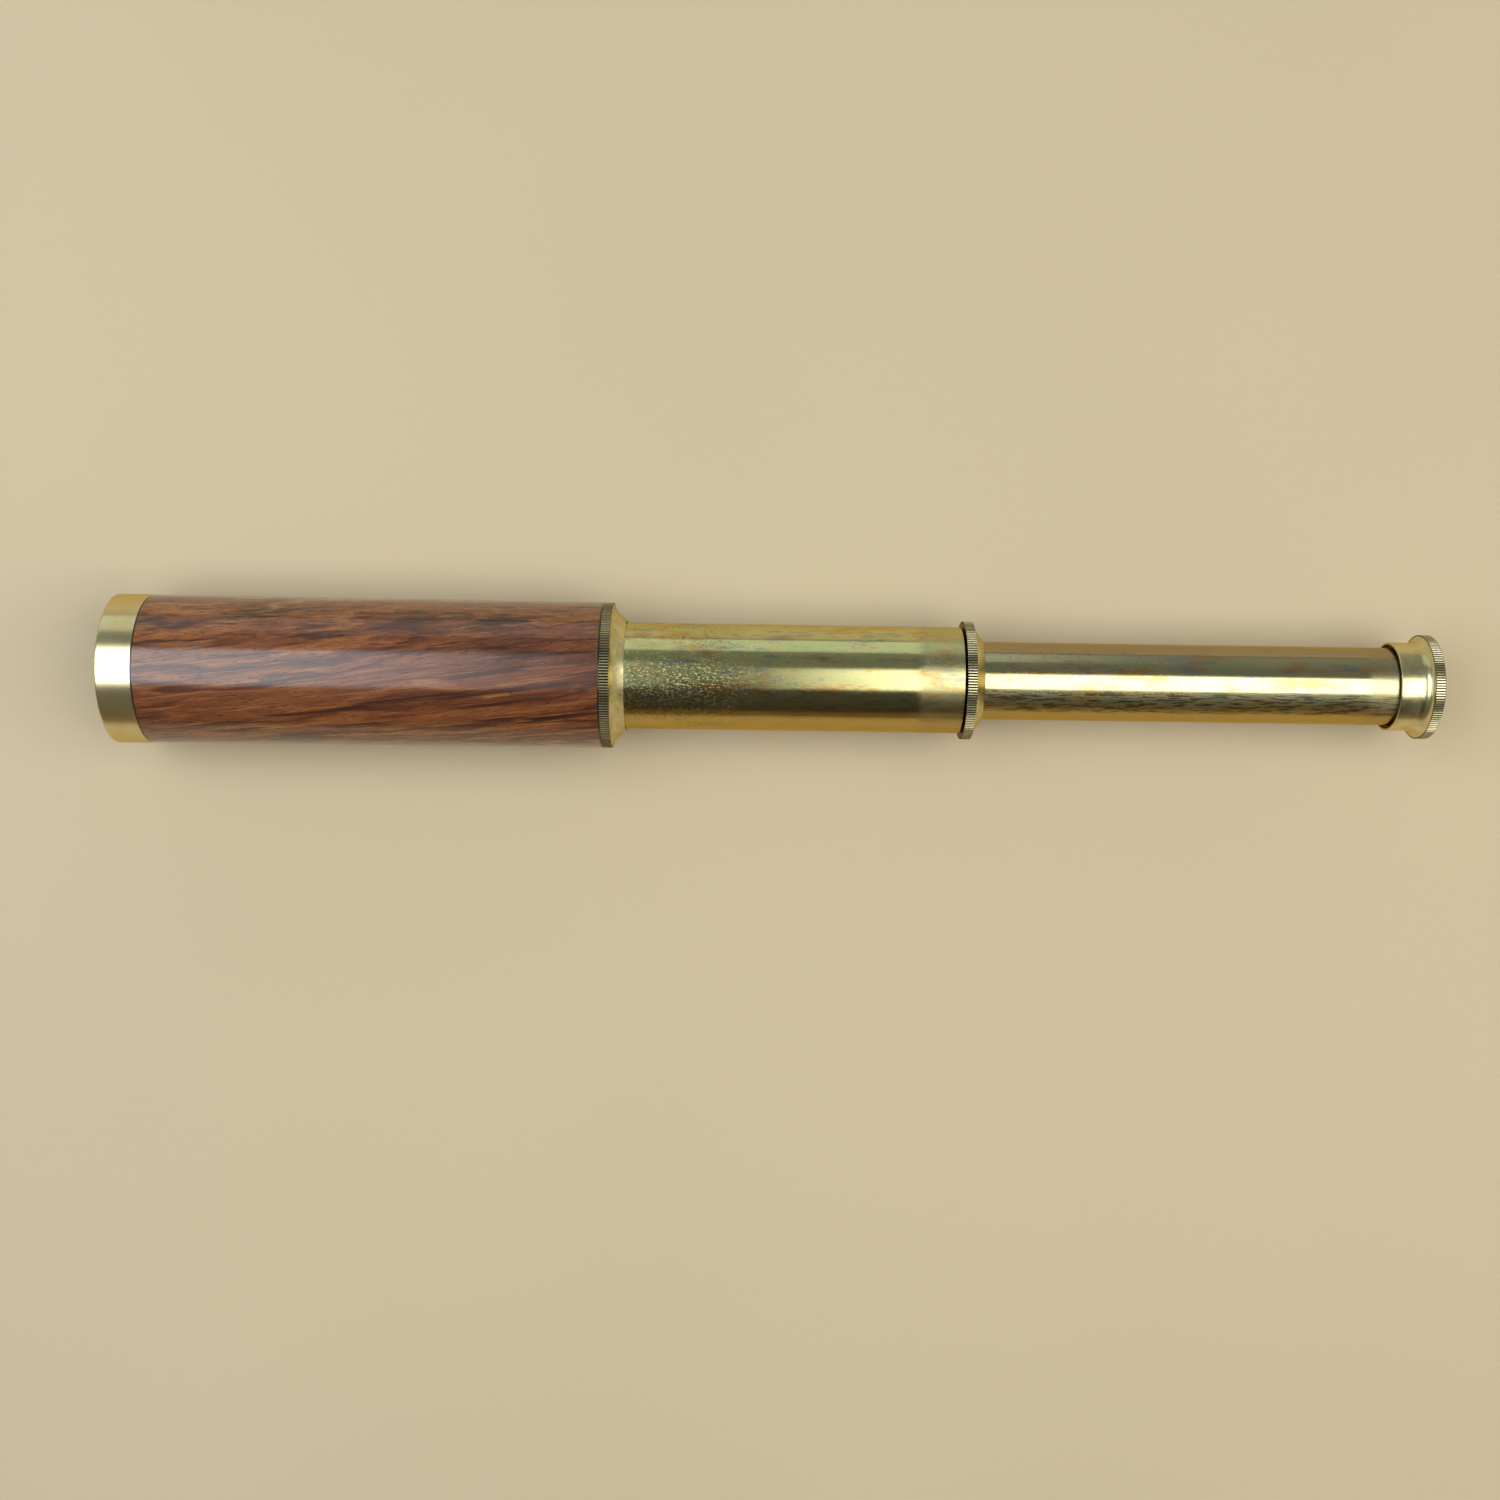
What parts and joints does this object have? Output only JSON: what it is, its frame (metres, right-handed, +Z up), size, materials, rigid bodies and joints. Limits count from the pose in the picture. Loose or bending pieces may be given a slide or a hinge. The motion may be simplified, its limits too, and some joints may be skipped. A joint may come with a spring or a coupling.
{
  "type": "telescope",
  "caption": "Hand-held telescope with a lacquered wooden barrel, brass objective ferrule, brass draw tubes, knurled collars and a flared eyecup.",
  "frame": {"origin": "centre of the objective rim, on the optical axis", "axes": "+X along the optical axis towards the eyecup, +Z up when the telescope lies on its side"},
  "size_m": [0.3556, 0.0404, 0.0404],
  "materials": {
    "polished_brass": "satin, lightly tarnished brass",
    "tarnished_brass": "drawn brass tube with greenish-brown tarnish",
    "blackened_brass": "matt black lacquer on brass",
    "rosewood": "glossy lacquered reddish-brown rosewood",
    "optical_glass": "polished optical glass"
  },
  "bodies": {
    "barrel": {"wood_barrel": "rosewood", "barrel_liner_tube": "blackened_brass", "objective_ferrule": "polished_brass", "objective_cell": "polished_brass", "objective_crown_lens": "optical_glass", "objective_spacer_ring": "blackened_brass", "objective_flint_lens": "optical_glass", "objective_retaining_ring": "polished_brass", "barrel_collar": "tarnished_brass", "barrel_guide_sleeve": "tarnished_brass"},
    "draw_1_stop": {"draw_1_stop_ring": "blackened_brass"},
    "draw_1": {"draw_1_tube": "tarnished_brass", "draw_1_collar": "tarnished_brass", "draw_1_guide_sleeve": "tarnished_brass"},
    "draw_2_stop": {"draw_2_stop_ring": "blackened_brass"},
    "draw_2": {"draw_2_tube": "tarnished_brass", "erector_tube": "blackened_brass", "erector_front_ring": "blackened_brass", "erector_front_lens": "optical_glass", "erector_stop": "blackened_brass", "erector_rear_lens": "optical_glass", "erector_rear_ring": "blackened_brass", "eyepiece_tube": "blackened_brass", "field_lens": "optical_glass", "field_lens_ring": "blackened_brass", "field_stop": "blackened_brass", "eyecup_adapter": "tarnished_brass"},
    "eye_lens_group": {"eye_lens": "optical_glass", "eye_lens_ring": "blackened_brass"},
    "eyecup": {"eyecup": "polished_brass"}
  },
  "joints": [
    {"name": "draw_1_slide", "type": "slide", "parent": "barrel", "child": "draw_1_stop", "axis": [1, 0, 0], "range_m": [-0.0908, 0]},
    {"name": "draw_1_turn", "type": "hinge", "parent": "draw_1_stop", "child": "draw_1", "pos_m": [0.111, 0, 0], "axis": [1, 0, 0], "continuous": true},
    {"name": "draw_2_slide", "type": "slide", "parent": "draw_1", "child": "draw_2_stop", "axis": [1, 0, 0], "range_m": [-0.1108, 0]},
    {"name": "draw_2_turn", "type": "hinge", "parent": "draw_2_stop", "child": "draw_2", "pos_m": [0.2195, 0, 0], "axis": [1, 0, 0], "continuous": true},
    {"name": "eyecup_lead", "type": "slide", "parent": "draw_2", "child": "eye_lens_group", "axis": [1, 0, 0], "range_m": [0, 0.003]},
    {"name": "eyecup_turn", "type": "hinge", "parent": "eye_lens_group", "child": "eyecup", "pos_m": [0.3475, 0, 0], "axis": [1, 0, 0], "range_deg": [0, 1440]}
  ],
  "couplings": [
    {"joint": "eyecup_lead", "follows": "eyecup_turn", "m_per_rad": 0.00011937}
  ]
}
